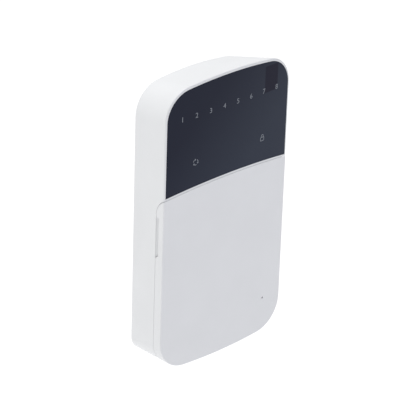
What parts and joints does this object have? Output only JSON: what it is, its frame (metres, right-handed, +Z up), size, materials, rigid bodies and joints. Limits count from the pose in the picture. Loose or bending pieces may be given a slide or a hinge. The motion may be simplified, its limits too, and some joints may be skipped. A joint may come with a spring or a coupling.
{
  "type": "alarm keypad panel",
  "caption": "Wall-mounted alarm keypad: slim white case with rounded corners, smoked zone display on top and a drop-down door over sprung push keys.",
  "frame": {"origin": "centre of the wall face, at the back of the wall plate", "axes": "+Y into the wall, +Z up, +X to the viewer's right; the display and door face -Y"},
  "size_m": [0.0808, 0.0272, 0.1505],
  "materials": {
    "white_shell": "fine moulded texture, cool white",
    "smoked_window": "semi-matte smoked blue-black",
    "printed_film": "satin printed film",
    "key_plastic": "satin moulded",
    "silicone": "translucent matt silicone",
    "soft_rubber": "matt grey rubber",
    "board_laminate": "green solder mask, satin",
    "led_resin": "clear resin",
    "black_moulding": "matt epoxy and nylon mouldings",
    "capacitor_sleeve": "drawn can",
    "terminal_plastic": "matt nylon",
    "steel": "zinc plated"
  },
  "bodies": {
    "case": {"board_screws": "steel", "bus_driver": "black_moulding", "buzzer": "black_moulding", "capacitors": "capacitor_sleeve", "case_screw": "steel", "crystal": "steel", "display_window": "smoked_window", "door_buffers": "soft_rubber", "front_housing": "white_shell", "key_mat": "silicone", "legend_film": "printed_film", "light_box": "white_shell", "light_sensor": "black_moulding", "main_board": "board_laminate", "microcontroller": "black_moulding", "status_leds": "led_resin", "tamper_spring": "steel", "tamper_switch": "black_moulding", "terminal_block": "terminal_plastic", "terminal_screws": "steel", "voltage_regulator": "black_moulding", "wall_plate": "white_shell", "zone_leds": "led_resin"},
    "door": {"flip_door": "white_shell"},
    "tamper_button": {"tamper_button": "terminal_plastic"},
    "key_0": {"key_0": "key_plastic"},
    "key_1": {"key_1": "key_plastic"},
    "key_2": {"key_2": "key_plastic"},
    "key_3": {"key_3": "key_plastic"},
    "key_4": {"key_4": "key_plastic"},
    "key_5": {"key_5": "key_plastic"},
    "key_6": {"key_6": "key_plastic"},
    "key_7": {"key_7": "key_plastic"},
    "key_8": {"key_8": "key_plastic"},
    "key_9": {"key_9": "key_plastic"},
    "key_arm_away": {"key_arm_away": "key_plastic"},
    "key_arm_stay": {"key_arm_stay": "key_plastic"},
    "key_disarm": {"key_disarm": "key_plastic"},
    "key_hash": {"key_hash": "key_plastic"},
    "key_ok": {"key_ok": "key_plastic"},
    "key_star": {"key_star": "key_plastic"}
  },
  "joints": [
    {"name": "door_hinge", "type": "hinge", "parent": "case", "child": "door", "pos_m": [0, -0.0178, -0.07285], "axis": [1, 0, 0], "range_deg": [0, 110]},
    {"name": "key_0_press", "type": "slide", "parent": "case", "child": "key_0", "axis": [0, 1, 0], "range_m": [0, 0.0008], "stiffness_N_per_m": 1200, "springref_m": -0.0005},
    {"name": "key_1_press", "type": "slide", "parent": "case", "child": "key_1", "axis": [0, 1, 0], "range_m": [0, 0.0008], "stiffness_N_per_m": 1200, "springref_m": -0.0005},
    {"name": "key_2_press", "type": "slide", "parent": "case", "child": "key_2", "axis": [0, 1, 0], "range_m": [0, 0.0008], "stiffness_N_per_m": 1200, "springref_m": -0.0005},
    {"name": "key_3_press", "type": "slide", "parent": "case", "child": "key_3", "axis": [0, 1, 0], "range_m": [0, 0.0008], "stiffness_N_per_m": 1200, "springref_m": -0.0005},
    {"name": "key_4_press", "type": "slide", "parent": "case", "child": "key_4", "axis": [0, 1, 0], "range_m": [0, 0.0008], "stiffness_N_per_m": 1200, "springref_m": -0.0005},
    {"name": "key_5_press", "type": "slide", "parent": "case", "child": "key_5", "axis": [0, 1, 0], "range_m": [0, 0.0008], "stiffness_N_per_m": 1200, "springref_m": -0.0005},
    {"name": "key_6_press", "type": "slide", "parent": "case", "child": "key_6", "axis": [0, 1, 0], "range_m": [0, 0.0008], "stiffness_N_per_m": 1200, "springref_m": -0.0005},
    {"name": "key_7_press", "type": "slide", "parent": "case", "child": "key_7", "axis": [0, 1, 0], "range_m": [0, 0.0008], "stiffness_N_per_m": 1200, "springref_m": -0.0005},
    {"name": "key_8_press", "type": "slide", "parent": "case", "child": "key_8", "axis": [0, 1, 0], "range_m": [0, 0.0008], "stiffness_N_per_m": 1200, "springref_m": -0.0005},
    {"name": "key_9_press", "type": "slide", "parent": "case", "child": "key_9", "axis": [0, 1, 0], "range_m": [0, 0.0008], "stiffness_N_per_m": 1200, "springref_m": -0.0005},
    {"name": "key_arm_away_press", "type": "slide", "parent": "case", "child": "key_arm_away", "axis": [0, 1, 0], "range_m": [0, 0.0008], "stiffness_N_per_m": 1200, "springref_m": -0.0005},
    {"name": "key_arm_stay_press", "type": "slide", "parent": "case", "child": "key_arm_stay", "axis": [0, 1, 0], "range_m": [0, 0.0008], "stiffness_N_per_m": 1200, "springref_m": -0.0005},
    {"name": "key_disarm_press", "type": "slide", "parent": "case", "child": "key_disarm", "axis": [0, 1, 0], "range_m": [0, 0.0008], "stiffness_N_per_m": 1200, "springref_m": -0.0005},
    {"name": "key_hash_press", "type": "slide", "parent": "case", "child": "key_hash", "axis": [0, 1, 0], "range_m": [0, 0.0008], "stiffness_N_per_m": 1200, "springref_m": -0.0005},
    {"name": "key_ok_press", "type": "slide", "parent": "case", "child": "key_ok", "axis": [0, 1, 0], "range_m": [0, 0.0008], "stiffness_N_per_m": 1200, "springref_m": -0.0005},
    {"name": "key_star_press", "type": "slide", "parent": "case", "child": "key_star", "axis": [0, 1, 0], "range_m": [0, 0.0008], "stiffness_N_per_m": 1200, "springref_m": -0.0005},
    {"name": "tamper_press", "type": "slide", "parent": "case", "child": "tamper_button", "axis": [0, -1, 0], "range_m": [0, 0.0005], "stiffness_N_per_m": 800, "springref_m": -0.0005}
  ]
}
